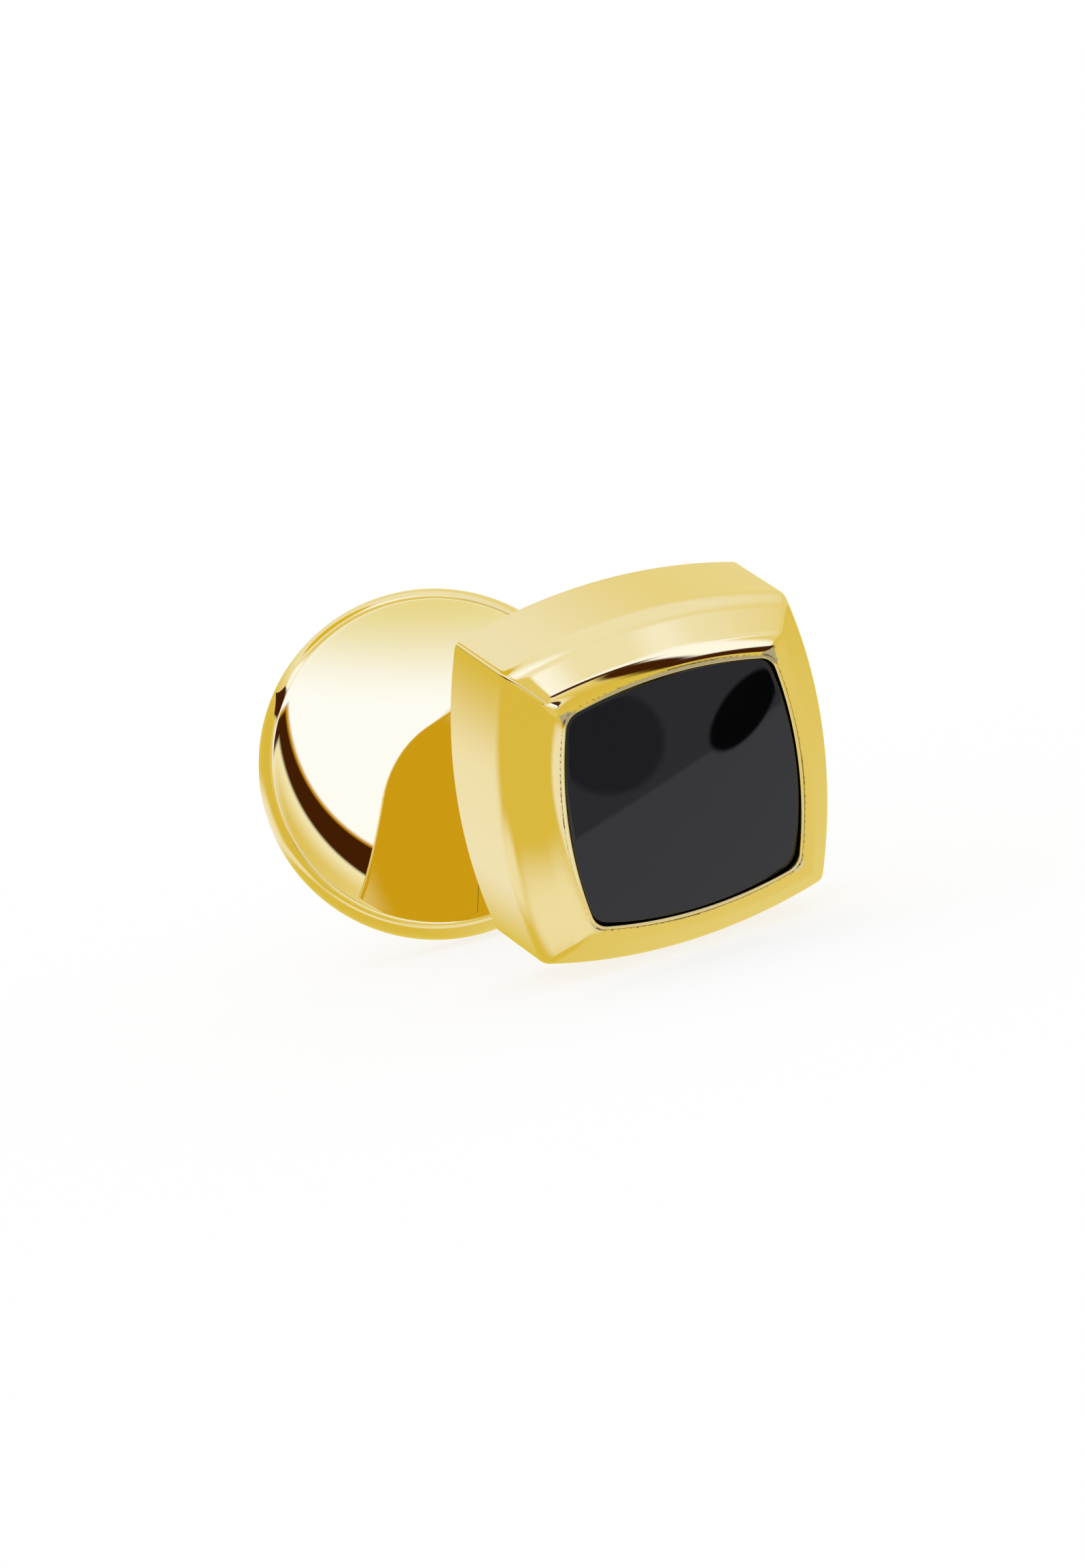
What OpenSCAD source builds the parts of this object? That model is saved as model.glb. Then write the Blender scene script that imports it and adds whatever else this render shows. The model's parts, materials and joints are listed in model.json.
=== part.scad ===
// Cushion-shaped cufflink: an inlaid head, a curved post and a hinged round back.
// The origin is the centre of the head's flat back, where the post leaves it.
// +X is the head's right, +Z is up, and the head faces -Y, pitched a little down.

/* [Head] */
// Width across the head from the middle of one side to the other
head_w = 14; // [12:0.1:17]
// Bulge of each side beyond the straight line between its corners
side_bulge = 0.8; // [0.5:0.05:1.1]
// How far each corner of the head is blunted
corner_blunt = 0.22; // [0.1:0.02:0.4]
// Height of the upright wall, from the flat back to the crease
wall_h = 4.5; // [3.9:0.1:5.5]
// How far the wall draws in between its foot and the crease
wall_draft = 0.06; // [0.02:0.01:0.12]
// Width of the sloping bevel, seen from the front
bevel_w = 1.44; // [1.2:0.02:1.6]
// Rise of the sloping bevel
bevel_h = 1.45; // [1.2:0.05:1.8]
// Height of the rounded rim above the bevel
rim_h = 0.12; // [0.06:0.01:0.2]
// Thickness of the sheet wall of the head at its back
case_wall = 0.8; // [0.6:0.05:1.1]
// Thickness of the web that carries the stone
web_t = 0.8; // [0.5:0.05:1]
// Rounding of the foot of the wall
foot_break = 0.15; // [0.05:0.01:0.3]

/* [Stone and collet] */
// Width of the stone across the middle of its sides
stone_w = 9.8; // [9:0.1:9.8]
// How far each corner of the stone is blunted
stone_blunt = 0.32; // [0.24:0.02:0.45]
// Thickness of the stone at its crown
stone_t = 2.65; // [2.3:0.05:2.9]
// Rise of the stone's polished crown from its edge
stone_rise = 0.35; // [0.2:0.05:0.5]
// Thickness of the collet wall round the stone
collet_t = 0.24; // [0.2:0.02:0.32]
// Thickness of the cement under the stone
cement_t = 0.15; // [0.1:0.01:0.2]

/* [Back plate and collar] */
// Thickness of the plate that closes the head's back
plate_t = 0.8; // [0.6:0.05:1]
// Width of the wall that is left round the plate
plate_margin = 0.55; // [0.4:0.05:0.7]
// Outer diameter of the collar at the post's root
collar_d = 4.2; // [3.6:0.1:5]
// Thickness of the collar
collar_t = 0.5; // [0.3:0.05:0.8]

/* [Post and fork] */
// Diameter of the post
post_d = 2.5; // [2.1:0.1:2.8]
// Diameter of the tenon that holds the post in the back plate
tenon_d = 1.8; // [1.4:0.1:2]
// Length of the tenon past the back plate
tenon_over = 0.5; // [0.2:0.1:0.8]
// Straight length of the post before it bends
post_lead = 3; // [2:0.1:5]
// Bend radius of the post's centre line
bend_r = 11.8; // [9:0.1:15]
// Angle through which the post bends down
bend_angle = 30.4; // [20:0.1:36]
// Distance from the end of the bend to the hinge pin
pin_reach = 1.55; // [1.4:0.05:2]
// Thickness of each ear of the fork, along the pin
ear_t = 0.95; // [0.8:0.05:1.2]
// How far each flank of the fork stands proud of the post
fork_proud = 0.05; // [0.02:0.01:0.2]
// Length of the fork's cheeks behind the pin
cheek_l = 3; // [2.6:0.1:3.4]
// Diameter of the hinge pin
pin_d = 1; // [0.8:0.05:1.1]
// Diameter of the pin's two heads
pin_head_d = 1.6; // [1.4:0.05:1.8]
// Thickness of each pin head
pin_head_t = 0.3; // [0.2:0.05:0.4]

/* [Friction leaf] */
// Thickness of the leaf that bears on the knuckle
leaf_t = 0.18; // [0.12:0.01:0.2]
// Width of the leaf along the pin
leaf_w = 1.4; // [1.1:0.05:1.45]
// Diameter of the rivet that holds the leaf
leaf_rivet_d = 0.6; // [0.5:0.05:0.7]
// Depth of the rivet's hole in the post
leaf_rivet_l = 1; // [0.8:0.1:1.3]

/* [Knuckle] */
// Diameter of the knuckle's barrel
barrel_d = 2.4; // [2.2:0.05:2.4]
// Width of the knuckle along the pin
knuckle_w = 1.5; // [1.5:0.05:1.8]
// Height of the pin over the plane of the disc's lip
pin_height = 1.7; // [1.65:0.05:2]
// Distance from the knuckle's foot to where the dished face starts to roll off
foot_margin = 0.45; // [0.3:0.05:0.9]
// Diameter of the knuckle's round foot
foot_d = 3.2; // [3:0.1:3.4]
// Depth of the foot's seat below the lip plane
seat_depth = 0.6; // [0.5:0.02:0.7]
// Thickness of the foot
foot_t = 0.4; // [0.3:0.05:0.5]
// Diameter of the rivet that holds the foot
foot_rivet_d = 0.9; // [0.7:0.05:1]
// Diameter of that rivet's head
foot_rivet_head_d = 2.2; // [1.8:0.1:2.4]
// Thickness of that rivet's head
foot_rivet_head_t = 0.3; // [0.2:0.02:0.32]
// Length of that rivet above the foot's seat
foot_rivet_l = 1; // [0.8:0.1:1.1]

/* [Disc] */
// Diameter of the round back
disc_d = 14.5; // [13.5:0.1:16]
// Thickness of the round back at its rim
disc_t = 2.4; // [2.3:0.05:2.8]
// Radius of the round outer edge of the rim
rim_r = 1.05; // [0.9:0.01:1.15]
// Width over which the dished face rolls off to the lip
roll_w = 0.7; // [0.5:0.05:0.9]
// Slope of the dished face where it starts to roll off
bowl_slope = 9; // [8:0.1:11]
// Thickness of the dished sheet
dish_sheet = 0.7; // [0.65:0.01:0.75]
// Width of the flat ring left round the cap that closes the disc's back
cap_margin = 0.3; // [0.2:0.05:0.5]
// Thickness of that cap
cap_t = 0.5; // [0.4:0.05:0.5]

/* [Stance] */
// Angle by which the disc stands open from square to the post
rest_swing = 15.1; // [0:0.1:20]
// Pitch of the head at which its edge and the disc meet a table
stance_pitch = 14.6; // [10:0.5:18]

/* [Hidden] */

// Facets of wide arcs, of small round parts and of curved profiles
arc_facets = 240;
round_facets = 64;
profile_steps = 10;

// Clearances: between fixed pieces, pin to knuckle, and beside the knuckle
seat_gap = 0.02;
pin_gap = 0.03;
side_gap = 0.05;
leaf_gap = 0.05;
// Overrun of every cut past the face that it opens
cut_over = 1;

// Colours of the metal and of the stone
gold = [0.86, 0.72, 0.36];
onyx = [0.11, 0.11, 0.12];
resin = [0.45, 0.42, 0.36];

// Head: every side is an arc about an axis behind the opposite side
head_half = head_w / 2;
side_corner = head_half - side_bulge;
side_r = (side_corner * side_corner + side_bulge * side_bulge) / (2 * side_bulge);
axis_back = side_r - head_half;
crease_half = head_half - wall_draft;
rim_half = crease_half - bevel_w;
rim_n = wall_h + bevel_h;
stone_half = stone_w / 2;
collet_half = stone_half + seat_gap + collet_t;
pocket_half = collet_half + seat_gap;
rim_top_n = rim_n + rim_h;
stone_top_n = rim_top_n + stone_rise + seat_gap;
cement_n = stone_top_n - stone_t - cement_t;
web_n = cement_n - web_t;
plate_half = head_half - plate_margin;
cavity_half = head_half - case_wall - seat_gap;
dome_r = (stone_half * stone_half + stone_rise * stone_rise) / (2 * stone_rise);

// Post: the pin's place in the plane that the post bends in
pin_w = -bend_r * (1 - cos(bend_angle)) - pin_reach * sin(bend_angle);
pin_n = -post_lead - bend_r * sin(bend_angle) - pin_reach * cos(bend_angle);
fork_w = post_d + 2 * fork_proud;
barrel_r = barrel_d / 2;
slot_w = knuckle_w + 2 * side_gap;
fork_t = slot_w + 2 * ear_t;
crotch = barrel_r + leaf_gap + leaf_t;

// Disc: bowl, roll-off and rim, seen from the plane of its lip, and the pin's distance from its axis
lip_r = disc_d / 2 - rim_r;
bowl_r = lip_r - roll_w;
lug_offset = bowl_r - foot_d / 2 - foot_margin;
bowl_sphere_r = bowl_r / sin(bowl_slope);
roll_r = roll_w / sin(bowl_slope);
bowl_edge_z = -roll_r * (1 - cos(bowl_slope));
bowl_z = bowl_edge_z - bowl_sphere_r * (1 - cos(bowl_slope));
cap_r = lip_r - cap_margin;
cap_z = -disc_t + cap_t;
hollow_r = cap_r - cap_t;

// Half distance across a concentric outline at its corner, along one axis
function corner_of(half) =
    let (r = axis_back + half)
    (sqrt(2 * r * r - axis_back * axis_back) - axis_back) / 2;
// Distance from the centre to the blunted corner of such an outline
function corner_reach(half, blunt) = sqrt(2) * corner_of(half) - blunt;
// Height of the dished face at a distance from its centre
function bowl_height(r) =
    bowl_z + bowl_sphere_r - sqrt(bowl_sphere_r * bowl_sphere_r - r * r);
// Points of an arc: centre, radius, first and last angle
function arc(centre, r, from, to) =
    [for (i = [0 : profile_steps])
        let (a = from + (to - from) * i / profile_steps)
        [centre.x + r * cos(a), centre.y + r * sin(a)]];

// Places children given in the head's own frame: x right, y up its face, z out of it
module in_head() {
    rotate([90 + stance_pitch, 0, 0]) children();
}

// Places children given about the pin: y along the pin, z back along the post
module at_pin() {
    in_head()
        translate([0, pin_w, pin_n])
            rotate([-bend_angle, 0, 0]) children();
}

// Places children given in the disc's frame: origin at the pin, z out of its face
module in_disc() {
    at_pin() rotate([0, -rest_swing, 0]) children();
}

// Places children on the disc's axis, with z = 0 in the plane of its lip
module on_disc_axis() {
    in_disc() translate([-lug_offset, 0, -pin_height]) children();
}

// Flat cushion outline with four bulging sides and blunted corners
module cushion_outline(half, blunt) {
    intersection() {
        intersection_for (turn = [0 : 90 : 270])
            rotate(turn)
                translate([-axis_back, 0]) circle(r = axis_back + half, $fn = arc_facets);
        circle(r = corner_reach(half, blunt), $fn = arc_facets);
    }
}

// Straight-walled cushion block from one height to another
module cushion_block(half, blunt, from_n, to_n) {
    translate([0, 0, from_n])
        linear_extrude(to_n - from_n) cushion_outline(half, blunt);
}

// Half section of the head's outside, drawn at a distance that is added to each half width
module case_section(shift) {
    polygon([
        [0, 0],
        [shift + head_half - foot_break, 0],
        [shift + head_half, foot_break],
        [shift + crease_half, wall_h],
        [shift + rim_half, rim_n],
        [shift + rim_half - rim_h, rim_top_n],
        [0, rim_top_n]
    ]);
}

// Outside of the head, each side a surface turned about its own axis
module case_outside() {
    intersection() {
        intersection_for (turn = [0 : 90 : 270])
            rotate(turn)
                translate([-axis_back, 0, 0])
                    rotate_extrude($fn = arc_facets) case_section(axis_back);
        rotate_extrude($fn = arc_facets)
            case_section(corner_reach(head_half, corner_blunt) - head_half);
    }
}

// Pressed shell of the head, with the stone's pocket in front and a hollow behind
module cushion_case() {
    color(gold) in_head() difference() {
        case_outside();
        cushion_block(pocket_half, stone_blunt, cement_n, rim_top_n + cut_over);
        cushion_block(cavity_half, corner_blunt, -cut_over, web_n);
        cushion_block(plate_half, corner_blunt, -cut_over, plate_t);
    }
}

// Thin wall that is closed down round the stone
module stone_collet() {
    color(gold) in_head() difference() {
        cushion_block(collet_half, stone_blunt, cement_n, rim_top_n);
        cushion_block(stone_half + seat_gap, stone_blunt, cement_n - cut_over,
                      rim_top_n + cut_over);
    }
}

// Black stone, flat underneath and gently crowned in front
module onyx_inlay() {
    color(onyx) in_head() intersection() {
        cushion_block(stone_half, stone_blunt, cement_n + cement_t, stone_top_n);
        translate([0, 0, stone_top_n - dome_r]) sphere(r = dome_r, $fn = arc_facets);
    }
}

// Bed of cement between the stone and its web
module stone_cement() {
    color(resin) in_head()
        cushion_block(stone_half, stone_blunt, cement_n, cement_n + cement_t);
}

// Plate that closes the back of the head
module back_plate() {
    color(gold) in_head() difference() {
        cushion_block(plate_half - seat_gap, corner_blunt, 0, plate_t);
        translate([0, 0, -cut_over])
            cylinder(d = tenon_d + 2 * seat_gap, h = plate_t + 2 * cut_over, $fn = round_facets);
    }
}

// Soldered ring where the post meets the plate
module post_collar() {
    color(gold) in_head() translate([0, 0, -collar_t]) difference() {
        cylinder(d = collar_d, h = collar_t, $fn = round_facets);
        translate([0, 0, -cut_over])
            cylinder(d = post_d + 2 * seat_gap, h = collar_t + 2 * cut_over, $fn = round_facets);
    }
}

// Bend of the post, as a part turn of its round section
module post_bend() {
    translate([0, -bend_r, -post_lead])
        rotate([0, -90, 0])
            rotate([0, 0, 90])
                rotate_extrude(angle = bend_angle, $fn = arc_facets)
                    translate([bend_r, 0]) circle(d = post_d, $fn = round_facets);
}

// Solid form of the fork, before it is slotted and bored
module fork_blank() {
    intersection() {
        union() {
            rotate([90, 0, 0]) cylinder(d = fork_w, h = fork_t, center = true, $fn = round_facets);
            translate([0, 0, cheek_l / 2]) cube([fork_w, fork_t, cheek_l], center = true);
        }
        translate([0, 0, -fork_w / 2])
            cylinder(r = fork_t / 2 + side_gap, h = cheek_l + fork_w, $fn = round_facets);
    }
}

// Post with its tenon, its bend and its forked end
module curved_post() {
    color(gold) difference() {
        union() {
            in_head() {
                translate([0, 0, -post_lead]) cylinder(d = post_d, h = post_lead, $fn = round_facets);
                cylinder(d = tenon_d, h = plate_t + tenon_over, $fn = round_facets);
                post_bend();
            }
            at_pin() cylinder(d = post_d, h = pin_reach, $fn = round_facets);
            at_pin() fork_blank();
        }
        at_pin() {
            translate([-fork_w, -slot_w / 2, -fork_w])
                cube([2 * fork_w, slot_w, fork_w + crotch]);
            rotate([90, 0, 0])
                cylinder(d = pin_d + seat_gap, h = fork_t + 2 * cut_over, center = true,
                         $fn = round_facets);
            cylinder(d = leaf_rivet_d + seat_gap, h = crotch + leaf_rivet_l, $fn = round_facets);
        }
    }
}

// Thin leaf in the root of the fork that rubs on the knuckle
module friction_leaf() {
    color(gold) at_pin() difference() {
        translate([0, 0, crotch - leaf_t / 2]) cube([fork_w, leaf_w, leaf_t], center = true);
        cylinder(d = leaf_rivet_d + seat_gap, h = crotch + cut_over, $fn = round_facets);
    }
}

// Rivet that holds the leaf, flush with its face
module leaf_rivet() {
    color(gold) at_pin() translate([0, 0, crotch - leaf_t])
        cylinder(d = leaf_rivet_d, h = leaf_t + leaf_rivet_l, $fn = round_facets);
}

// Headed pin through both ears and the knuckle
module hinge_pin() {
    color(gold) at_pin() rotate([90, 0, 0]) {
        cylinder(d = pin_d, h = fork_t + pin_head_t, center = true, $fn = round_facets);
        for (side = [-1, 1])
            translate([0, 0, side * (fork_t + pin_head_t) / 2])
                cylinder(d = pin_head_d, h = pin_head_t, center = true, $fn = round_facets);
    }
}

// Knuckle: barrel on the pin, neck and round foot, bored for its rivet
module knuckle() {
    foot_z = -pin_height - seat_depth;
    color(gold) in_disc() difference() {
        union() {
            rotate([90, 0, 0]) cylinder(d = barrel_d, h = knuckle_w, center = true, $fn = round_facets);
            translate([-barrel_r, -knuckle_w / 2, foot_z]) cube([barrel_d, knuckle_w, -foot_z]);
            translate([0, 0, foot_z]) cylinder(d = foot_d, h = foot_t, $fn = round_facets);
        }
        rotate([90, 0, 0])
            cylinder(d = pin_d + 2 * pin_gap, h = knuckle_w + 2 * cut_over, center = true,
                     $fn = round_facets);
        translate([0, 0, foot_z - cut_over])
            cylinder(d = foot_rivet_d + seat_gap, h = foot_rivet_l + cut_over, $fn = round_facets);
    }
}

// Rivet from inside the disc into the knuckle's foot
module knuckle_rivet() {
    sheet_z = bowl_height(lug_offset - foot_rivet_head_d / 2) - dish_sheet;
    color(gold) in_disc() translate([0, 0, -pin_height]) {
        translate([0, 0, sheet_z]) cylinder(d = foot_rivet_d,
            h = foot_rivet_l - seat_depth - sheet_z, $fn = round_facets);
        translate([0, 0, sheet_z - foot_rivet_head_t])
            cylinder(d = foot_rivet_head_d, h = foot_rivet_head_t, $fn = round_facets);
    }
}

// Dished round back with a rolled rim, open behind
module dished_disc() {
    rise = [for (i = [0 : profile_steps])
        let (r = bowl_r * i / profile_steps) [r, bowl_height(r)]];
    roll = arc([lip_r, -roll_r], roll_r, 90 + bowl_slope, 90);
    rim = arc([lip_r, -rim_r], rim_r, 90, 0);
    heel = arc([lip_r, rim_r - disc_t], rim_r, 0, -90);
    under = [for (i = [profile_steps : -1 : 0])
        let (r = hollow_r * i / profile_steps) [r, bowl_height(min(r, bowl_r)) - dish_sheet]];
    color(gold) on_disc_axis() difference() {
        rotate_extrude($fn = arc_facets)
            polygon(concat(rise, roll, rim, heel, [
                [cap_r + seat_gap, -disc_t],
                [cap_r + seat_gap, cap_z],
                [hollow_r, cap_z]
            ], under));
        translate([lug_offset, 0, -seat_depth])
            cylinder(d = foot_d + 2 * seat_gap, h = seat_depth + cut_over, $fn = round_facets);
        translate([lug_offset, 0, -disc_t])
            cylinder(d = foot_rivet_d + seat_gap, h = disc_t, $fn = round_facets);
    }
}

// Flat cap that closes the back of the disc
module disc_cap() {
    color(gold) on_disc_axis()
        translate([0, 0, -disc_t]) cylinder(r = cap_r, h = cap_t, $fn = arc_facets);
}

cushion_case();
stone_collet();
onyx_inlay();
stone_cement();
back_plate();
post_collar();
curved_post();
friction_leaf();
leaf_rivet();
hinge_pin();
knuckle();
knuckle_rivet();
dished_disc();
disc_cap();
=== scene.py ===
import json
import math
import bpy
from mathutils import Matrix, Vector


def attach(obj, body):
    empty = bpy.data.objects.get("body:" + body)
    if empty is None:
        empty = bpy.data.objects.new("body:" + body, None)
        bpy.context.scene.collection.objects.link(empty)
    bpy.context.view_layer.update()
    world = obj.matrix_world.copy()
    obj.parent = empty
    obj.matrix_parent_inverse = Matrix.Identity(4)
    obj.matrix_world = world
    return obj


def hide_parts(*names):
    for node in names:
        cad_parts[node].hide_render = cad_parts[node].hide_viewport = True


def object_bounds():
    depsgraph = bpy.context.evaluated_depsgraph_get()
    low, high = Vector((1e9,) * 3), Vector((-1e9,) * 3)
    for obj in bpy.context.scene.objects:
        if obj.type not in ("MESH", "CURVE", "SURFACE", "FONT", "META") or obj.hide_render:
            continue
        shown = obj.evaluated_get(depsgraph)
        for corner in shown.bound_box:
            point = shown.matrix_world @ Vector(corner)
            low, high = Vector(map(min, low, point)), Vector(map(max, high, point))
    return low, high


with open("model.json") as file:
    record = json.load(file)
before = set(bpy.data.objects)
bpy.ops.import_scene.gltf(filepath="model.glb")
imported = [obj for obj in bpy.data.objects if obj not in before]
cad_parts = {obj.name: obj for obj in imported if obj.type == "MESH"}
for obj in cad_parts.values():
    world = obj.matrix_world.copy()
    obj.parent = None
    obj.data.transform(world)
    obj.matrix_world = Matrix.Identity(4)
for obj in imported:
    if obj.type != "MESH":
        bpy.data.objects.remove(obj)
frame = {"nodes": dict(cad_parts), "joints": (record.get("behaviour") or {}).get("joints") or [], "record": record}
cad_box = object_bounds()

MM = 0.001
FULL_TURN = 2 * math.pi

# The photograph's frame, in its own pixels
PHOTO_W = 1596
PHOTO_H = 2306

# Where the head's back centre lies in it, its pixels per millimetre there, and how many
# millimetres away the camera stands
HEAD_PIXEL_X = 908
HEAD_PIXEL_Y = 1098
PIXELS_PER_MM = 37.53
CAMERA_DISTANCE = 287.4

# The photograph's right and down, in the head's own frame: right, up its face, out of it
VIEW_RIGHT = Vector((0.898, -0.129, 0.421))
VIEW_DOWN = Vector((-0.268, -0.919, 0.290))

# Camera's sensor in millimetres; how near and how far it sees, and the floor's side, in metres
SENSOR_W = 36
CLIP_NEAR = 0.01
CLIP_FAR = 20
FLOOR_SIZE = 4
# How much of the paper floor is lit, and so keeps the shadow; the rest is its own plain white
LIT_SHARE = 0.25

# Heights in the head, in millimetres from its flat back
PLATE_THICK = 0.8
WEB_FOOT = 2.84
WEB_TOP = 3.64
STONE_FOOT = 3.79
WALL_TOP = 4.5
RIM_FOOT = 5.95
RIM_TOP = 6.07
STONE_TOP = 6.44
COLLET_RISE = 0.06

# Half widths of the head's cushion forms, at the middles of their sides, and what lies between
CAVITY_HALF = 6.18
PLATE_HALF = 6.45
HEAD_HALF = 6.965
CREASE_HALF = 6.94
RIM_HALF = 5.5
STONE_HALF = 4.9
COLLET_WALL = 0.24
SEAT_GAP = 0.02
CLOSED_SEAM = 0.002

# How far their sides bulge, and the radius of their corners
CAVITY_BULGE = 0.7
CAVITY_CORNER = 0.3
PLATE_BULGE = 0.74
PLATE_CORNER = 0.3
WALL_BULGE = 0.8
WALL_CORNER = 0.35
CREASE_BULGE = 0.79
CREASE_CORNER = 0.4
RIM_BULGE = 0.545
RIM_CORNER = 0.25
POCKET_BULGE = 0.48
POCKET_CORNER = 0.74
COLLET_BULGE = 0.42
STONE_BULGE = 0.41
STONE_CORNER = 0.78

# How far the head's edges are rounded
BACK_EDGE = 0.02
CREASE_EDGE = 0.55
RIM_EDGE = 0.4
COLLET_EDGE = 0.05
STONE_EDGE = 0.1

# Round back, in millimetres; PIN_HEIGHT is the hinge pin's height over the plane of its lip
DISC_R = 7.212
DISC_THICK = 2.4
DISC_WALL = 0.7
RIM_R = 1.05
LIP_REACH = 0.55
ROLL_WIDTH = 0.04
BOWL_R = 35.4
PIN_HEIGHT = 1.7
CAP_MARGIN = 0.3
CAP_R = DISC_R - RIM_R - CAP_MARGIN
CAP_THICK = 0.5
CAP_LEDGE = 0.5
CAP_EDGE = 0.06
CAP_FLAT_END = 0.1

# Post, fork and hinge, in millimetres
POST_R = 1.25
POST_LEAD = 3.0
POST_ROOT = 0.3
BEND_R = 11.8
BEND = math.radians(30.4)
COLLAR_R = 2.1
COLLAR_T = 0.5
COLLAR_EDGE = 0.15
FORK_W = 2.6
FORK_T = 3.5
FORK_EDGE = 0.16
CHEEK_L = 3.0
SLOT_W = 1.6
CROTCH = 1.43
PIN_R = 0.5
PIN_HEAD_R = 0.8
PIN_HEAD_T = 0.3
PIN_HEAD_EDGE = 0.2
BORE_GAP = 0.03
BARREL_R = 1.2
KNUCKLE_W = 1.5
KNUCKLE_EDGE = 0.08
NECK_START = 0.1
FOOT_R = 1.6
FOOT_T = 0.5
SEAT_DEPTH = 0.7

# Steps round a cushion's side and corner, round a disc and a rod, along a rounded edge, across
# the stone's crown and the bowl, round the bowl's lip and rim, and along the post's bend
SIDE_STEPS = 30
CORNER_STEPS = 10
ROUND_STEPS = 256
TUBE_STEPS = 64
EDGE_STEPS = 8
CROWN_STEPS = 40
BOWL_STEPS = 40
ROLL_STEPS = 6
RIM_STEPS = 24
BEND_STEPS = 32

# Rings on a flat cushion face, as shares of its size from the middle out
HUB_SHARES = (0.001, 0.3, 0.6, 0.85)
# A profile has a point just beyond each rounding, by this share of its reach, to keep faces flat
EDGE_HOLD = 0.12
# Points closer than the first are merged, and edges shorter than the second dissolved, in metres
MERGE = 1e-7
COLLAPSE = 1e-8
# Edges over these angles stay sharp on rolled and on cut pieces, or are rounded, in degrees
ROLLED_SHARP = 35
CUT_SHARP = 30
SOFT_FROM = 40


# Frames of the head, the round back, the knuckle and the fork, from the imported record

def axes(right, up, out, origin):
    """Matrix that takes millimetres in a piece's own frame to metres in the object's."""
    turn = Matrix((right, up, out)).transposed().to_4x4()
    return Matrix.Translation(origin) @ turn @ Matrix.Scale(MM, 4)


record_mounts = {mount["name"]: mount for mount in frame["record"]["mounts"]}
hinge = frame["joints"][0]
head_front = -Vector(record_mounts["cuff_post"]["axis"]).normalized()
head_right = Vector((1, 0, 0))
head_up = head_front.cross(head_right)
HEAD = axes(head_right, head_up, head_front, Vector((0, 0, 0)))

pin_axis = Vector(hinge["axis"]).normalized()
disc_face = -Vector(record_mounts["disc_back"]["axis"]).normalized()
disc_long = pin_axis.cross(disc_face)
back_centre = Vector(record_mounts["disc_back"]["pos_m"])
DISC = axes(disc_long, pin_axis, disc_face, back_centre + disc_face * DISC_THICK * MM)
PIN = axes(disc_long, pin_axis, disc_face, Vector(hinge["pos_m"]))
fork_back = head_right.cross(pin_axis)
FORK = axes(head_right, pin_axis, fork_back, Vector(hinge["pos_m"]))


# Mesh helpers

def only(piece):
    """Selects one piece and nothing else."""
    bpy.ops.object.select_all(action="DESELECT")
    piece.select_set(True)
    bpy.context.view_layer.objects.active = piece


def smooth(piece, degrees):
    """Smooth shading that keeps edges sharper than the given angle."""
    only(piece)
    bpy.ops.object.shade_smooth_by_angle(angle=math.radians(degrees))


def rolled(name, rings, place, shut=False):
    """A grid rolled round into a form: one row of points for each ring, which may close on itself."""
    bpy.ops.object.select_all(action="DESELECT")
    columns = len(rings[0])
    rows = len(rings) if shut else len(rings) - 1
    # The grid runs from -1 to 1 both ways
    bpy.ops.mesh.primitive_grid_add(x_subdivisions=columns, y_subdivisions=rows, size=2)
    piece = bpy.context.object
    piece.name = piece.data.name = name
    for vertex in piece.data.vertices:
        column = round((vertex.co.x + 1) / 2 * columns) % columns
        row = round((vertex.co.y + 1) / 2 * rows) % len(rings)
        vertex.co = place @ Vector(rings[row][column])
    bpy.ops.object.mode_set(mode="EDIT")
    bpy.ops.mesh.select_all(action="SELECT")
    bpy.ops.mesh.remove_doubles(threshold=MERGE)
    bpy.ops.mesh.dissolve_degenerate(threshold=COLLAPSE)
    bpy.ops.mesh.normals_make_consistent(inside=False)
    bpy.ops.object.mode_set(mode="OBJECT")
    smooth(piece, ROLLED_SHARP)
    return piece


def apply_modifiers(piece):
    """Applies every modifier on a piece, first to last."""
    only(piece)
    for modifier in list(piece.modifiers):
        bpy.ops.object.modifier_apply(modifier=modifier.name)


def cut(piece, tool, operation="DIFFERENCE"):
    """Cuts a piece with a tool, or joins the two, and removes the tool."""
    modifier = piece.modifiers.new("cut", "BOOLEAN")
    modifier.operation = operation
    modifier.object = tool
    modifier.solver = "EXACT"
    apply_modifiers(piece)
    bpy.data.objects.remove(tool, do_unlink=True)


def soft_edges(piece, width, segments):
    """Rounds a piece's sharp edges, as polishing does."""
    modifier = piece.modifiers.new("soft_edges", "BEVEL")
    modifier.width = width * MM
    modifier.segments = segments
    modifier.limit_method = "ANGLE"
    modifier.angle_limit = math.radians(SOFT_FROM)
    modifier.use_clamp_overlap = True
    apply_modifiers(piece)


def settle(piece, place):
    """Moves a piece's place from its object into its mesh, in the object's frame."""
    piece.data.transform(place @ piece.matrix_world)
    piece.matrix_world = Matrix.Identity(4)
    only(piece)
    bpy.ops.object.mode_set(mode="EDIT")
    bpy.ops.mesh.select_all(action="SELECT")
    bpy.ops.mesh.normals_make_consistent(inside=False)
    bpy.ops.object.mode_set(mode="OBJECT")


def block(name, size, centre):
    """Square block in millimetres."""
    bpy.ops.object.select_all(action="DESELECT")
    bpy.ops.mesh.primitive_cube_add(size=1, location=centre)
    piece = bpy.context.object
    piece.name = piece.data.name = name
    piece.scale = size
    bpy.ops.object.transform_apply(location=True, rotation=True, scale=True)
    return piece


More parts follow.
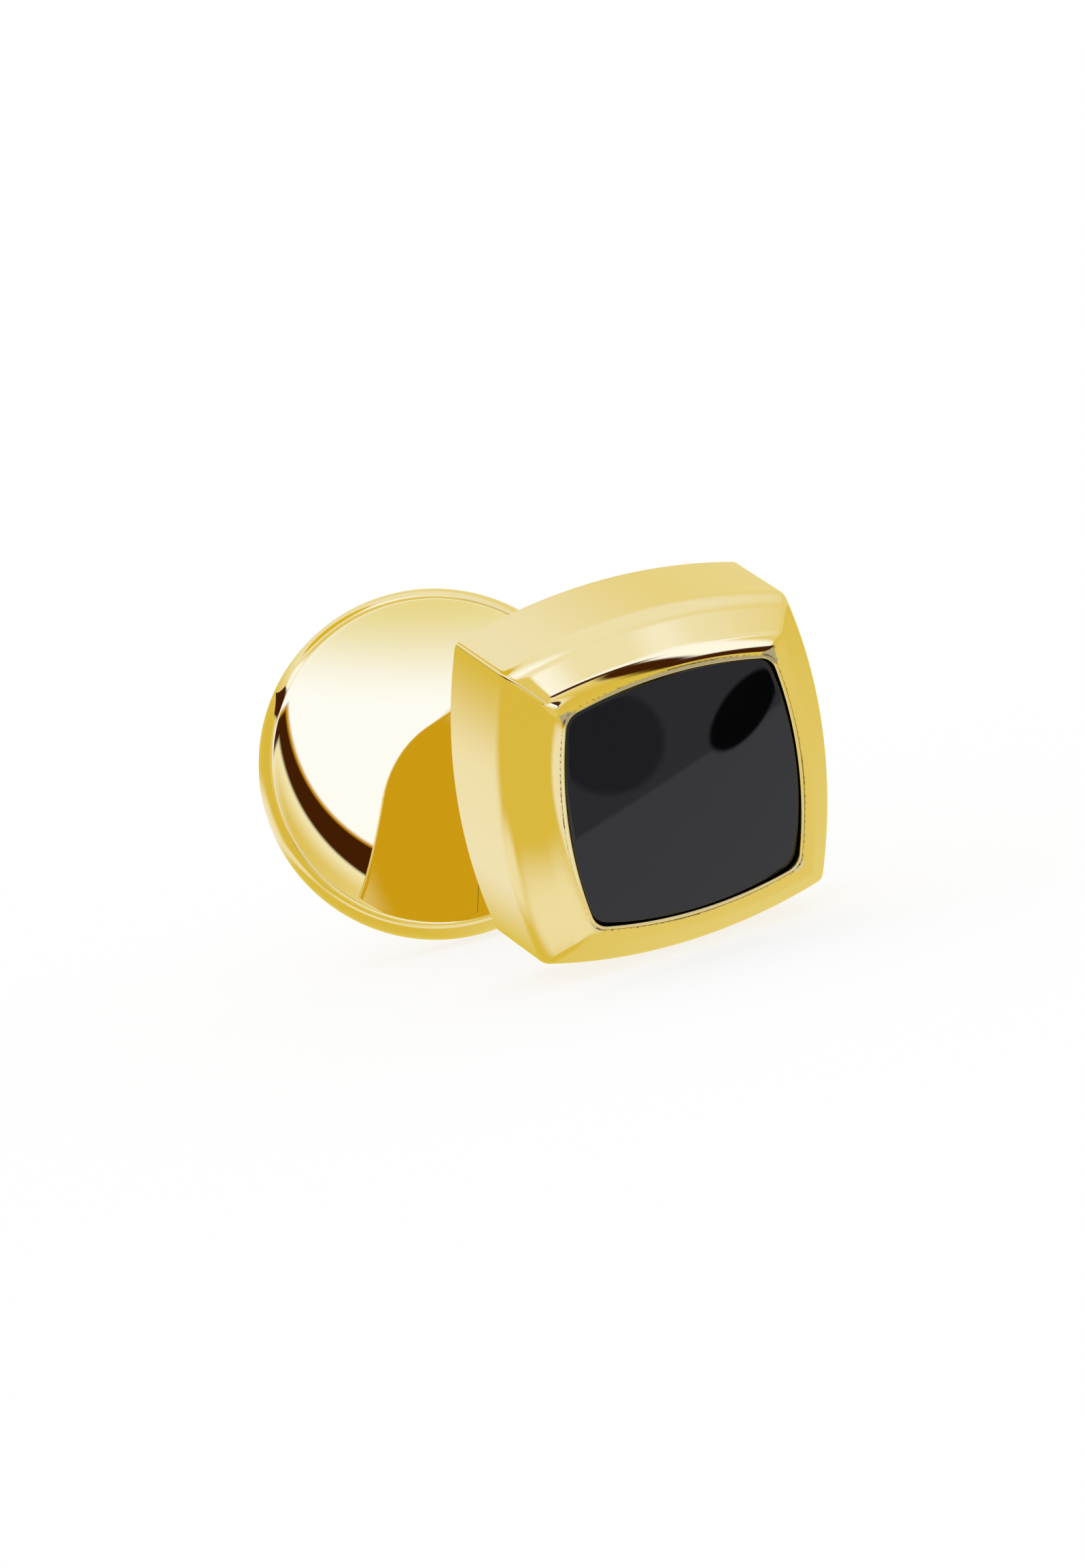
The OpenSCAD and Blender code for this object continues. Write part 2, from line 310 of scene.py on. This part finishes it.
def rod(name, radius, length, centre, along="Z"):
    """Round rod in millimetres, along Y or Z of its own frame."""
    turn = {"Y": (math.pi / 2, 0, 0), "Z": (0, 0, 0)}[along]
    bpy.ops.object.select_all(action="DESELECT")
    bpy.ops.mesh.primitive_cylinder_add(
        vertices=TUBE_STEPS, radius=radius, depth=length, location=centre, rotation=turn)
    piece = bpy.context.object
    piece.name = piece.data.name = name
    bpy.ops.object.transform_apply(location=True, rotation=True, scale=True)
    return piece


# Outlines and profiles

def mix(a, b, share):
    """Value between a and b."""
    return a + (b - a) * share


def cushion(half, height, bulge, corner):
    """Ring of points round a cushion: four bulging sides joined by round corners."""
    inner = half - corner
    reach = inner - bulge
    radius = (reach * reach + bulge * bulge) / (2 * bulge)
    spread = math.asin(reach / radius)
    quarter = []
    for step in range(SIDE_STEPS):
        angle = mix(-spread, spread, step / SIDE_STEPS)
        quarter.append((inner - radius + (radius + corner) * math.cos(angle),
                        (radius + corner) * math.sin(angle)))
    for step in range(CORNER_STEPS):
        angle = mix(spread, math.pi / 2 - spread, step / CORNER_STEPS)
        quarter.append((reach + corner * math.cos(angle), reach + corner * math.sin(angle)))
    ring = []
    for turn in range(4):
        cosine = round(math.cos(turn * math.pi / 2))
        sine = round(math.sin(turn * math.pi / 2))
        ring += [(cosine * x - sine * y, sine * x + cosine * y, height) for x, y in quarter]
    return ring


def softened(stations):
    """Profile through stations whose last value is how far each corner is rounded."""
    points = []
    for index, station in enumerate(stations):
        reach = station[-1]
        here = Vector(station[:-1])
        if reach == 0:
            points.append(here)
            continue
        before = Vector(stations[index - 1][:-1])
        after = Vector(stations[index + 1][:-1])
        start = here + (before - here) * reach / (before - here).xy.length
        end = here + (after - here) * reach / (after - here).xy.length
        points.append(start + (start - here) * EDGE_HOLD)
        for step in range(EDGE_STEPS + 1):
            share = step / EDGE_STEPS
            points.append(start * (1 - share) ** 2 + here * 2 * share * (1 - share) + end * share ** 2)
        points.append(end + (end - here) * EDGE_HOLD)
    return points


def cushion_rings(stations):
    """Rings along a softened profile of half width, height, bulge and corner radius."""
    return [cushion(*point) for point in softened(stations)]


def hub(half, height, bulge, corner):
    """Rings that close a flat cushion face to a point at its middle, from the middle out."""
    return [(half * share, height, bulge * share, corner * share, 0) for share in HUB_SHARES]


def circle_ring(radius, height, steps=ROUND_STEPS):
    """Ring of points round an axis."""
    return [(radius * math.cos(FULL_TURN * i / steps), radius * math.sin(FULL_TURN * i / steps), height)
            for i in range(steps)]


def arc(centre, radius, first, last, steps):
    """Points of an arc in a profile, angles in degrees."""
    points = []
    for step in range(steps + 1):
        angle = math.radians(mix(first, last, step / steps))
        points.append((centre[0] + radius * math.cos(angle), centre[1] + radius * math.sin(angle)))
    return points


# Head

def cushion_case():
    """Shell of the head: upright walls, a soft crease, a bevel and a narrow rounded rim."""
    pocket = STONE_HALF + COLLET_WALL + 2 * SEAT_GAP
    stations = hub(CAVITY_HALF, WEB_FOOT, CAVITY_BULGE, CAVITY_CORNER) + [
        (CAVITY_HALF, WEB_FOOT, CAVITY_BULGE, CAVITY_CORNER, 0),
        (CAVITY_HALF, PLATE_THICK, CAVITY_BULGE, CAVITY_CORNER, 0),
        (PLATE_HALF, PLATE_THICK, PLATE_BULGE, PLATE_CORNER, 0),
        (PLATE_HALF, 0, PLATE_BULGE, PLATE_CORNER, 0),
        (HEAD_HALF, 0, WALL_BULGE, WALL_CORNER, BACK_EDGE),
        (CREASE_HALF, WALL_TOP, CREASE_BULGE, CREASE_CORNER, CREASE_EDGE),
        (RIM_HALF, RIM_FOOT, RIM_BULGE, RIM_CORNER, RIM_EDGE),
        (pocket, RIM_TOP, POCKET_BULGE, POCKET_CORNER, 0),
        (pocket, WEB_TOP, POCKET_BULGE, POCKET_CORNER, 0),
    ] + hub(pocket, WEB_TOP, POCKET_BULGE, POCKET_CORNER)[::-1]
    return rolled("cushion_case_polished", cushion_rings(stations), HEAD)


def stone_collet():
    """Thin bright wall closed down round the stone; outside, it all but meets the case's pocket."""
    inner = STONE_HALF + SEAT_GAP
    outer = inner + COLLET_WALL + SEAT_GAP - CLOSED_SEAM
    stations = [
        (outer, WEB_TOP, POCKET_BULGE, POCKET_CORNER, 0),
        (outer, RIM_TOP, POCKET_BULGE, POCKET_CORNER, 0),
        (inner, RIM_TOP + COLLET_RISE, COLLET_BULGE, STONE_CORNER, COLLET_EDGE),
        (inner, WEB_TOP, COLLET_BULGE, STONE_CORNER, 0),
    ]
    return rolled("stone_collet_bright", cushion_rings(stations), HEAD, shut=True)


def onyx_inlay():
    """Black stone with a broken edge and a gently crowned top."""
    rise = STONE_TOP - RIM_TOP
    dome_r = (STONE_HALF ** 2 + rise ** 2) / (2 * rise)

    def crown(x, y):
        return STONE_TOP - dome_r + math.sqrt(dome_r ** 2 - x * x - y * y)

    rings = cushion_rings(hub(STONE_HALF, STONE_FOOT, STONE_BULGE, STONE_CORNER) + [
        (STONE_HALF, STONE_FOOT, STONE_BULGE, STONE_CORNER, 0),
        (STONE_HALF, RIM_TOP - STONE_EDGE, STONE_BULGE, STONE_CORNER, 0),
    ])
    for step in range(1, EDGE_STEPS + 1):
        turn = step / EDGE_STEPS * math.pi / 2
        inset = STONE_EDGE * (1 - math.cos(turn))
        drop = STONE_EDGE * (1 - math.sin(turn))
        ring = cushion(STONE_HALF - inset, 0, STONE_BULGE, STONE_CORNER)
        rings.append([(x, y, crown(x, y) - drop) for x, y, _ in ring])
    for step in range(1, CROWN_STEPS):
        share = 1 - step / CROWN_STEPS
        ring = cushion((STONE_HALF - STONE_EDGE) * share, 0, STONE_BULGE * share, STONE_CORNER * share)
        rings.append([(x, y, crown(x, y)) for x, y, _ in ring])
    rings.append([(0, 0, STONE_TOP)] * len(rings[0]))
    return rolled("onyx_inlay_polished", rings, HEAD)


def back_plate():
    """Plate that closes the head's back, flush with the wall."""
    half = PLATE_HALF - CLOSED_SEAM
    stations = hub(half, 0, PLATE_BULGE, PLATE_CORNER) + [
        (half, 0, PLATE_BULGE, PLATE_CORNER, 0),
        (half, PLATE_THICK, PLATE_BULGE, PLATE_CORNER, 0),
    ] + hub(half, PLATE_THICK, PLATE_BULGE, PLATE_CORNER)[::-1]
    return rolled("back_plate_polished", cushion_rings(stations), HEAD)


# Post and hinge

def post_collar():
    """Soldered ring at the post's root, with its outer edge rounded."""
    profile = [(POST_R, 0), (COLLAR_R, 0)]
    profile += arc((COLLAR_R - COLLAR_EDGE, -COLLAR_T + COLLAR_EDGE), COLLAR_EDGE, 0, -90, EDGE_STEPS)
    profile += [(POST_R, -COLLAR_T)]
    rings = [circle_ring(radius, height, TUBE_STEPS) for radius, height in profile]
    return rolled("post_collar_polished", rings, HEAD, shut=True)


def post_point(angle, along):
    """Point on the post's bend: angle round its section, along from 0 to 1."""
    turn = BEND * along
    radius = BEND_R + POST_R * math.cos(angle)
    return (POST_R * math.sin(angle), radius * math.cos(turn) - BEND_R,
            -POST_LEAD - radius * math.sin(turn))


def curved_post():
    """Post from the head's back to the fork, with the fork slotted and bored."""
    section = [FULL_TURN * i / TUBE_STEPS for i in range(TUBE_STEPS)]
    # Root, straight part and bend, closed to a point at both ends
    rings = [[(0, 0, POST_ROOT)] * TUBE_STEPS]
    for height in (POST_ROOT, 0, -POST_LEAD * 0.5, -POST_LEAD * 0.98):
        rings.append([(POST_R * math.sin(a), POST_R * math.cos(a), height) for a in section])
    for step in range(BEND_STEPS + 1):
        rings.append([post_point(a, step / BEND_STEPS) for a in section])
    end = (0, BEND_R * (math.cos(BEND) - 1), -POST_LEAD - BEND_R * math.sin(BEND))
    rings.append([end] * TUBE_STEPS)
    stem = rolled("curved_post_polished", rings, HEAD)

    fork = block("fork", (FORK_W, FORK_T, CHEEK_L), (0, 0, CHEEK_L / 2))
    cut(fork, rod("ear", FORK_W / 2, FORK_T, (0, 0, 0), "Y"), "UNION")
    cut(fork, block("slot", (2 * FORK_W, SLOT_W, 2 * CROTCH), (0, 0, 0)))
    cut(fork, rod("pin_hole", PIN_R, 2 * FORK_T, (0, 0, 0), "Y"))
    settle(fork, FORK)
    soft_edges(fork, FORK_EDGE, segments=4)
    smooth(fork, CUT_SHARP)
    only(fork)
    stem.select_set(True)
    bpy.context.view_layer.objects.active = stem
    bpy.ops.object.join()
    return stem


def hinge_pin():
    """Pin with two flat heads, round at their edges."""
    half = FORK_T / 2
    end = half + PIN_HEAD_T
    shoulder = PIN_HEAD_R - PIN_HEAD_EDGE
    profile = [(0, -end)]
    profile += arc((shoulder, -end + PIN_HEAD_EDGE), PIN_HEAD_EDGE, -90, 0, EDGE_STEPS)
    profile += [(PIN_HEAD_R, -half), (PIN_R, -half), (PIN_R, half), (PIN_HEAD_R, half)]
    profile += arc((shoulder, end - PIN_HEAD_EDGE), PIN_HEAD_EDGE, 0, 90, EDGE_STEPS)
    profile += [(0, end)]
    rings = [[(x, z, -y) for x, y, z in circle_ring(radius, height, TUBE_STEPS)]
             for radius, height in profile]
    return rolled("hinge_pin_polished", rings, FORK)


def knuckle():
    """Barrel on the pin, with a neck that runs down to a round foot."""
    foot = -PIN_HEIGHT - SEAT_DEPTH
    neck_l = -foot - NECK_START
    piece = rod("knuckle_polished", BARREL_R, KNUCKLE_W, (0, 0, 0), "Y")
    cut(piece, block("neck", (2 * BARREL_R, KNUCKLE_W, neck_l), (0, 0, foot + neck_l / 2)), "UNION")
    cut(piece, rod("foot", FOOT_R, FOOT_T, (0, 0, foot + FOOT_T / 2)), "UNION")
    cut(piece, rod("bore", PIN_R + BORE_GAP, 2 * KNUCKLE_W, (0, 0, 0), "Y"))
    settle(piece, PIN)
    soft_edges(piece, KNUCKLE_EDGE, segments=3)
    smooth(piece, CUT_SHARP)
    return piece


# Round back

def bowl_profile():
    """Section of the dished face and its rim, from the axis out and round to the back."""
    lip = DISC_R - LIP_REACH
    bowl = lip - ROLL_WIDTH
    slope = math.asin(bowl / BOWL_R)
    roll = ROLL_WIDTH / math.sin(slope)
    middle = -roll * (1 - math.cos(slope)) + BOWL_R * math.cos(slope)
    face = arc((0, middle), BOWL_R, -90, -90 + math.degrees(slope), BOWL_STEPS)
    # The first point lies on the axis exactly
    face[0] = (0, face[0][1])
    face += arc((lip, -roll), roll, 90 + math.degrees(slope), 90, ROLL_STEPS)[1:]
    # The rim is a quarter of an ellipse in front and a quarter of a circle behind
    face += [(lip + LIP_REACH * x, RIM_R * (y - 1)) for x, y in arc((0, 0), 1, 90, 0, RIM_STEPS)[1:]]
    face += arc((DISC_R - RIM_R, RIM_R - DISC_THICK), RIM_R, 0, -90, RIM_STEPS)
    return face


def dished_disc():
    """Round back with a dished mirror face and a rolled rim, open behind for its cap."""
    face = bowl_profile()
    hollow = CAP_R - CAP_LEDGE
    ledge = CAP_THICK - DISC_THICK
    recess = [(CAP_R + SEAT_GAP, -DISC_THICK), (CAP_R + SEAT_GAP, ledge), (hollow, ledge)]
    under = [(radius, height - DISC_WALL) for radius, height in face[:BOWL_STEPS + 1] if radius < hollow]
    profile = face + recess + under[::-1]
    rings = [circle_ring(radius, height) for radius, height in profile]
    piece = rolled("dished_disc_mirror", rings, DISC)
    seat = rod("foot_seat", FOOT_R + SEAT_GAP, 2 * SEAT_DEPTH, (0, 0, -PIN_HEIGHT))
    settle(seat, PIN)
    cut(piece, seat)
    smooth(piece, ROLLED_SHARP)
    return piece


def disc_cap():
    """Flat cap in the back of the disc, with a broken edge."""
    top = CAP_THICK - DISC_THICK
    profile = [(0, -DISC_THICK), (CAP_R - CAP_FLAT_END, -DISC_THICK)]
    profile += arc((CAP_R - CAP_EDGE, CAP_EDGE - DISC_THICK), CAP_EDGE, -90, 0, EDGE_STEPS)
    profile += [(CAP_R, top), (0, top)]
    rings = [circle_ring(radius, height) for radius, height in profile]
    return rolled("disc_cap_polished", rings, DISC)


# Materials: colours in sRGB, widths of the patterns in millimetres

GOLD = "f0dda0"
PLATE_GLOSS = (0.02, 0.04)
MIRROR_GLOSS = (0.0, 0.008)
WIPE_WIDTH = 5 / 3
ONYX = ("040405", "08080a")
ONYX_GLOSS = (0.02, 0.04)
ONYX_IOR = 1.54
BAND_WIDTH = 4
CEMENT = ("a39b88", "bfb7a3")
CEMENT_ROUGHNESS = 0.85
GRAIN_WIDTH = 0.25


def linear(text):
    """Linear colour of an sRGB hex value."""
    parts = [int(text[i:i + 2], 16) / 255 for i in (0, 2, 4)]
    return [c / 12.92 if c <= 0.04045 else ((c + 0.055) / 1.055) ** 2.4 for c in parts] + [1]


def node(tree, kind, inputs=None, **settings):
    """Adds a node with its settings; inputs are values, or sockets to link from."""
    made = tree.nodes.new(kind)
    for key, value in settings.items():
        setattr(made, key, value)
    for key, value in (inputs or {}).items():
        if isinstance(value, bpy.types.NodeSocket):
            tree.links.new(value, made.inputs[key])
        else:
            made.inputs[key].default_value = value
    return made


def new_material(name):
    """Empty material with its output and a Principled shader."""
    material = bpy.data.materials.new(name)
    material.use_nodes = True
    tree = material.node_tree
    tree.nodes.clear()
    shader = node(tree, "ShaderNodeBsdfPrincipled")
    node(tree, "ShaderNodeOutputMaterial", {"Surface": shader.outputs["BSDF"]})
    return material, tree, shader


def polished_gold(name, gloss_range):
    """Gold plate, buffed on a wheel: it mirrors the room sharply and tints it warm.

    Wipe marks change only how sharply. They are drawn wider than real ones, so that they can show.
    """
    material, tree, shader = new_material(name)
    shader.inputs["Base Color"].default_value = linear(GOLD)
    shader.inputs["Metallic"].default_value = 1
    place = node(tree, "ShaderNodeTexCoord")
    marks = node(tree, "ShaderNodeTexNoise", {
        "Vector": place.outputs["Object"], "Scale": 1 / (WIPE_WIDTH * MM), "Detail": 3.0})
    gloss = node(tree, "ShaderNodeMapRange", {
        "Value": marks.outputs["Fac"], "To Min": gloss_range[0], "To Max": gloss_range[1]})
    tree.links.new(gloss.outputs["Result"], shader.inputs["Roughness"])
    return material


def black_onyx():
    """Onyx, lapped and polished: nearly black in faint bands, with a glassy gloss."""
    material, tree, shader = new_material("onyx_polished")
    shader.inputs["IOR"].default_value = ONYX_IOR
    place = node(tree, "ShaderNodeTexCoord")
    bands = node(tree, "ShaderNodeTexNoise", {
        "Vector": place.outputs["Object"], "Scale": 1 / (BAND_WIDTH * MM), "Detail": 2.0})
    tone = node(tree, "ShaderNodeMix", {
        "Factor": bands.outputs["Fac"], "A": linear(ONYX[0]), "B": linear(ONYX[1])},
        data_type="RGBA")
    tree.links.new(tone.outputs["Result"], shader.inputs["Base Color"])
    gloss = node(tree, "ShaderNodeMapRange", {
        "Value": bands.outputs["Fac"], "To Min": ONYX_GLOSS[0], "To Max": ONYX_GLOSS[1]})
    tree.links.new(gloss.outputs["Result"], shader.inputs["Roughness"])
    return material


def set_cement():
    """Jeweller's cement, set hard: pale grey-brown and matt, with fine grains of filler."""
    material, tree, shader = new_material("cement_set")
    place = node(tree, "ShaderNodeTexCoord")
    grains = node(tree, "ShaderNodeTexNoise", {
        "Vector": place.outputs["Object"], "Scale": 1 / (GRAIN_WIDTH * MM), "Detail": 3.0})
    tone = node(tree, "ShaderNodeMix", {
        "Factor": grains.outputs["Fac"], "A": linear(CEMENT[0]), "B": linear(CEMENT[1])},
        data_type="RGBA")
    tree.links.new(tone.outputs["Result"], shader.inputs["Base Color"])
    shader.inputs["Roughness"].default_value = CEMENT_ROUGHNESS
    return material


gold = polished_gold("gold_plate_polished", PLATE_GLOSS)
mirror = polished_gold("gold_plate_mirror", MIRROR_GLOSS)
onyx = black_onyx()
cement = set_cement()


def finish_piece(piece, material, body, slot, *nodes):
    """Gives a piece its finish and its body, and hides the solids that it stands for."""
    piece.data.materials.clear()
    piece.data.materials.append(material)
    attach(piece, body)
    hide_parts(*nodes)


finish_piece(cushion_case(), gold, "head", "polished_gold", "cushion_case")
finish_piece(stone_collet(), gold, "head", "polished_gold", "stone_collet")
finish_piece(onyx_inlay(), onyx, "head", "black_stone", "onyx_inlay")
finish_piece(back_plate(), gold, "head", "polished_gold", "back_plate")
finish_piece(post_collar(), gold, "head", "polished_gold", "post_collar")
finish_piece(curved_post(), gold, "head", "polished_gold", "curved_post")
finish_piece(hinge_pin(), gold, "head", "polished_gold", "hinge_pin")
finish_piece(knuckle(), gold, "disc", "polished_gold", "knuckle")
finish_piece(dished_disc(), mirror, "disc", "polished_gold", "dished_disc")
finish_piece(disc_cap(), gold, "disc", "polished_gold", "disc_cap")

# The hidden solids keep their shapes and get their finish
for name, material in (("stone_cement", cement), ("friction_leaf", gold),
                       ("leaf_rivet", gold), ("knuckle_rivet", gold)):
    frame["nodes"][name].data.materials.clear()
    frame["nodes"][name].data.materials.append(material)


# Surroundings, floor and camera

def view_axes():
    """Right, down and forward of the photograph's view, and the way from its camera to the head."""
    right = (HEAD.to_3x3() @ VIEW_RIGHT).normalized()
    down = HEAD.to_3x3() @ VIEW_DOWN
    down = (down - right * down.dot(right)).normalized()
    forward = right.cross(down)
    aim = (forward * CAMERA_DISTANCE
           + right * (PHOTO_W / 2 - HEAD_PIXEL_X) / PIXELS_PER_MM
           + down * (PHOTO_H / 2 - HEAD_PIXEL_Y) / PIXELS_PER_MM).normalized()
    turn = forward.rotation_difference(aim).to_matrix()
    return turn @ right, turn @ down, aim, forward


def studio_plane(tree):
    """Directions as degrees right of and below the one towards the camera."""
    right, down, aim, _ = view_axes()
    way = node(tree, "ShaderNodeTexCoord").outputs["Generated"]
    parts = [node(tree, "ShaderNodeVectorMath", {0: way, 1: axis}, operation="DOT_PRODUCT").outputs["Value"]
             for axis in (right, down, -aim)]
    across = node(tree, "ShaderNodeCombineXYZ", {"X": parts[0], "Y": parts[1]}).outputs["Vector"]
    angle = node(tree, "ShaderNodeMath", {0: parts[2]}, operation="ARCCOSINE").outputs["Value"]
    degrees = node(tree, "ShaderNodeMath", {0: angle}, operation="DEGREES").outputs["Value"]
    unit = node(tree, "ShaderNodeVectorMath", {0: across}, operation="NORMALIZE").outputs["Vector"]
    return node(tree, "ShaderNodeVectorMath", {0: unit, "Scale": degrees},
                operation="SCALE").outputs["Vector"]


def card(tree, plane, at, size, soft, turn=0.0, shape="oval"):
    """Share of a card in the surroundings: 1 inside its oval, square or diamond, 0 outside.

    Its middle, its half width and half height, and its turn are in degrees. Its edge is soft
    over a share of its size.
    """
    local = node(tree, "ShaderNodeMapping", {
        "Vector": plane, "Location": (*at, 0), "Rotation": (0, 0, math.radians(turn)),
        "Scale": (*size, 1)}, vector_type="TEXTURE").outputs["Vector"]
    if shape == "oval":
        reach = node(tree, "ShaderNodeVectorMath", {0: local}, operation="LENGTH").outputs["Value"]
    else:
        sizes = node(tree, "ShaderNodeVectorMath", {0: local}, operation="ABSOLUTE").outputs["Vector"]
        split = node(tree, "ShaderNodeSeparateXYZ", {"Vector": sizes})
        reach = node(tree, "ShaderNodeMath", {
            0: split.outputs["X"], 1: split.outputs["Y"]},
            operation="MAXIMUM" if shape == "square" else "ADD").outputs["Value"]
    return node(tree, "ShaderNodeMapRange", {
        "Value": reach, "From Min": 1 - soft, "From Max": 1 + soft, "To Min": 1.0, "To Max": 0.0},
        interpolation_type="SMOOTHSTEP").outputs["Result"]


def lay(tree, under, share, over):
    """Lays a colour, or a made-up card, over the surroundings by a share."""
    if not isinstance(over, bpy.types.NodeSocket):
        over = (*over, 1)
    return node(tree, "ShaderNodeMix", {"Factor": share, "A": under, "B": over},
                data_type="RGBA").outputs["Result"]


# Light of the room's walls and cards. The gold multiplies it by its own colour, so that what
# looks white in the metal is a cool, strong light here.
WARM = (0.8, 0.66, 0.14)
OCHRE = (0.86, 0.77, 0.34)
TAN = (0.9, 0.84, 0.5)
NEUTRAL = (0.98, 1.01, 1.1)
CREAM = (0.98, 0.98, 0.95)
WHITE = (1.15, 1.3, 2.1)
DEEP_GOLD = (0.79, 0.62, 0.05)
LIGHT_GOLD = (0.86, 0.76, 0.32)
AMBER = (0.67, 0.37, 0.02)
DARK = (0.06, 0.017, 0.0026)
PALE_EDGE = (1.03, 1.09, 1.23)
DAYLIGHT = (1.14, 1.35, 2.5)
DAYLIGHT_SHADE = (0.92, 0.93, 0.7)
PALE_GREY = (0.8, 0.8, 0.86)
MID_GREY = (0.49, 0.49, 0.53)
DARK_GREY = (0.25, 0.25, 0.28)
BLACK = (0, 0, 0)
PAPER = (1, 1, 1)


def studio_world():
    """Room round the object: warm walls, a tan ceiling with a pale window, and cards on stands."""
    world = bpy.data.worlds.new("studio")
    bpy.context.scene.world = world
    world.use_nodes = True
    tree = world.node_tree
    plane = studio_plane(tree)
    room = node(tree, "ShaderNodeRGB").outputs["Color"]
    room.default_value = (*WARM, 1)

    def hang(colour, at, size, **how):
        """Hangs a card in the room, before what hangs there already."""
        nonlocal room
        room = lay(tree, room, card(tree, plane, at, size, **how), colour)

    # Walls to the lower right, ceiling and its window
    hang(OCHRE, at=(105, 85), size=(88, 105), soft=0.35)
    hang(TAN, at=(20, -105), size=(160, 78), soft=0.15)
    hang(NEUTRAL, at=(-30, -88), size=(75, 42), soft=0.3)
    # Gold wall behind, which the head's back mirrors into the dish
    hang(DEEP_GOLD, at=(-55, -86), size=(27, 19), soft=0.15)
    # Sheets to the left and below, where the side and the bevel of the head look
    hang(CREAM, at=(-135, 43), size=(34, 30), soft=0.55)
    hang(CREAM, at=(-92, 58), size=(27, 11), soft=0.5)
    hang(CREAM, at=(-8, 61), size=(58, 11), turn=-6, soft=0.45)
    # White window over the head, with its dark frame
    hang(WHITE, at=(-6, -58), size=(24, 9), turn=50, soft=0.5)
    hang(NEUTRAL, at=(18, -54), size=(30, 7), soft=0.5)
    hang(WHITE, at=(20, -45.5), size=(24, 3), turn=-4, soft=0.5)
    hang(WHITE, at=(39, -30), size=(27, 8), turn=60, soft=0.3)
    hang(DARK, at=(15, -42), size=(13, 2.4), turn=6, soft=0.3)
    hang(DARK, at=(30, -29), size=(16, 4.5), turn=52, soft=0.25)
    hang(DARK, at=(49, -10), size=(19, 5), turn=30, soft=0.25)
    # Round sheet of daylight beside the camera, which fills the dish, with an amber edge, before
    # a dark card with a pale edge, which shows in the dish as a crescent
    hang(PALE_EDGE, at=(-0.2, -9.6), size=(25.4, 25.4), soft=0.05)
    hang(DARK, at=(-0.2, -9.6), size=(24.2, 24.2), soft=0.01)
    hang(AMBER, at=(2, -8), size=(20.95, 20.95), soft=0.008)
    shade = card(tree, plane, at=(6, 14), size=(40, 16), soft=0.45)
    sheet = lay(tree, (*DAYLIGHT, 1), shade, DAYLIGHT_SHADE)
    hang(sheet, at=(2, -8), size=(20.6, 20.6), soft=0.012)
    # Gold cards above and below the camera, a pale one at their foot, and a white and a dark one
    # across the left
    hang(LIGHT_GOLD, at=(-16, -29), size=(27.2, 27.2), soft=0.02)
    hang(LIGHT_GOLD, at=(-8, 18), size=(26, 11), soft=0.15)
    hang(NEUTRAL, at=(14, 40), size=(22, 7), soft=0.25)
    hang(WHITE, at=(-30, -34), size=(34, 5.5), turn=31, soft=0.4)
    hang(DARK, at=(-62, -38.6), size=(69, 6.5), turn=19.4, soft=0.08, shape="diamond")
    # Grey cards and a black flag that show in the stone
    hang(PALE_GREY, at=(52, 38), size=(26, 26), soft=0.12)
    hang(MID_GREY, at=(47, 19), size=(25, 12), turn=-32, soft=0.03, shape="square")
    hang(DARK_GREY, at=(38.5, 27.3), size=(8.2, 7.6), soft=0.1)
    hang(BLACK, at=(59.2, 22.5), size=(7.5, 3.6), turn=-52, soft=0.08)

    # Matt surfaces get a plain white light, and the camera sees white
    path = node(tree, "ShaderNodeLightPath")
    room = lay(tree, room, path.outputs["Is Diffuse Ray"], PAPER)
    room = lay(tree, room, path.outputs["Is Camera Ray"], PAPER)
    background = tree.nodes["Background"]
    tree.links.new(room, background.inputs["Color"])
    # The metal finds the cards by mirroring them, so no map of the bright ones is made
    world.cycles.sampling_method = "NONE"


def paper_floor():
    """White paper under the object, which keeps a soft shadow and stays out of the reflections."""
    bpy.ops.object.select_all(action="DESELECT")
    bpy.ops.mesh.primitive_plane_add(size=FLOOR_SIZE, location=(0, 0, cad_box[0][2]))
    floor = bpy.context.object
    floor.name = "floor"
    material, tree, shader = new_material("paper_white")
    shader.inputs["Base Color"].default_value = (*PAPER, 1)
    shader.inputs["Roughness"].default_value = 1
    shader.inputs["Specular IOR Level"].default_value = 0
    glow = node(tree, "ShaderNodeEmission", {"Color": (*PAPER, 1), "Strength": 1.0})
    paper = node(tree, "ShaderNodeMixShader", {
        0: LIT_SHARE, 1: glow.outputs["Emission"], 2: shader.outputs["BSDF"]})
    clear = node(tree, "ShaderNodeBsdfTransparent")
    path = node(tree, "ShaderNodeLightPath")
    both = node(tree, "ShaderNodeMixShader", {
        0: path.outputs["Is Glossy Ray"], 1: paper.outputs["Shader"], 2: clear.outputs["BSDF"]})
    output = next(n for n in tree.nodes if n.bl_idname == "ShaderNodeOutputMaterial")
    tree.links.new(both.outputs["Shader"], output.inputs["Surface"])
    floor.data.materials.append(material)


def photo_camera():
    """Camera where the photograph was taken from."""
    right, down, aim, forward = view_axes()
    basis = Matrix((right, -down, -aim)).transposed()
    data = bpy.data.cameras.new("photo_camera")
    camera = bpy.data.objects.new("photo_camera", data)
    bpy.context.scene.collection.objects.link(camera)
    camera.matrix_world = Matrix.Translation(-forward * CAMERA_DISTANCE * MM) @ basis.to_4x4()
    data.sensor_width = SENSOR_W
    data.lens = data.sensor_width * CAMERA_DISTANCE * PIXELS_PER_MM / PHOTO_H
    data.clip_start = CLIP_NEAR
    data.clip_end = CLIP_FAR
    bpy.context.scene.camera = camera


studio_world()
paper_floor()
photo_camera()
bpy.context.scene.view_settings.view_transform = "Standard"
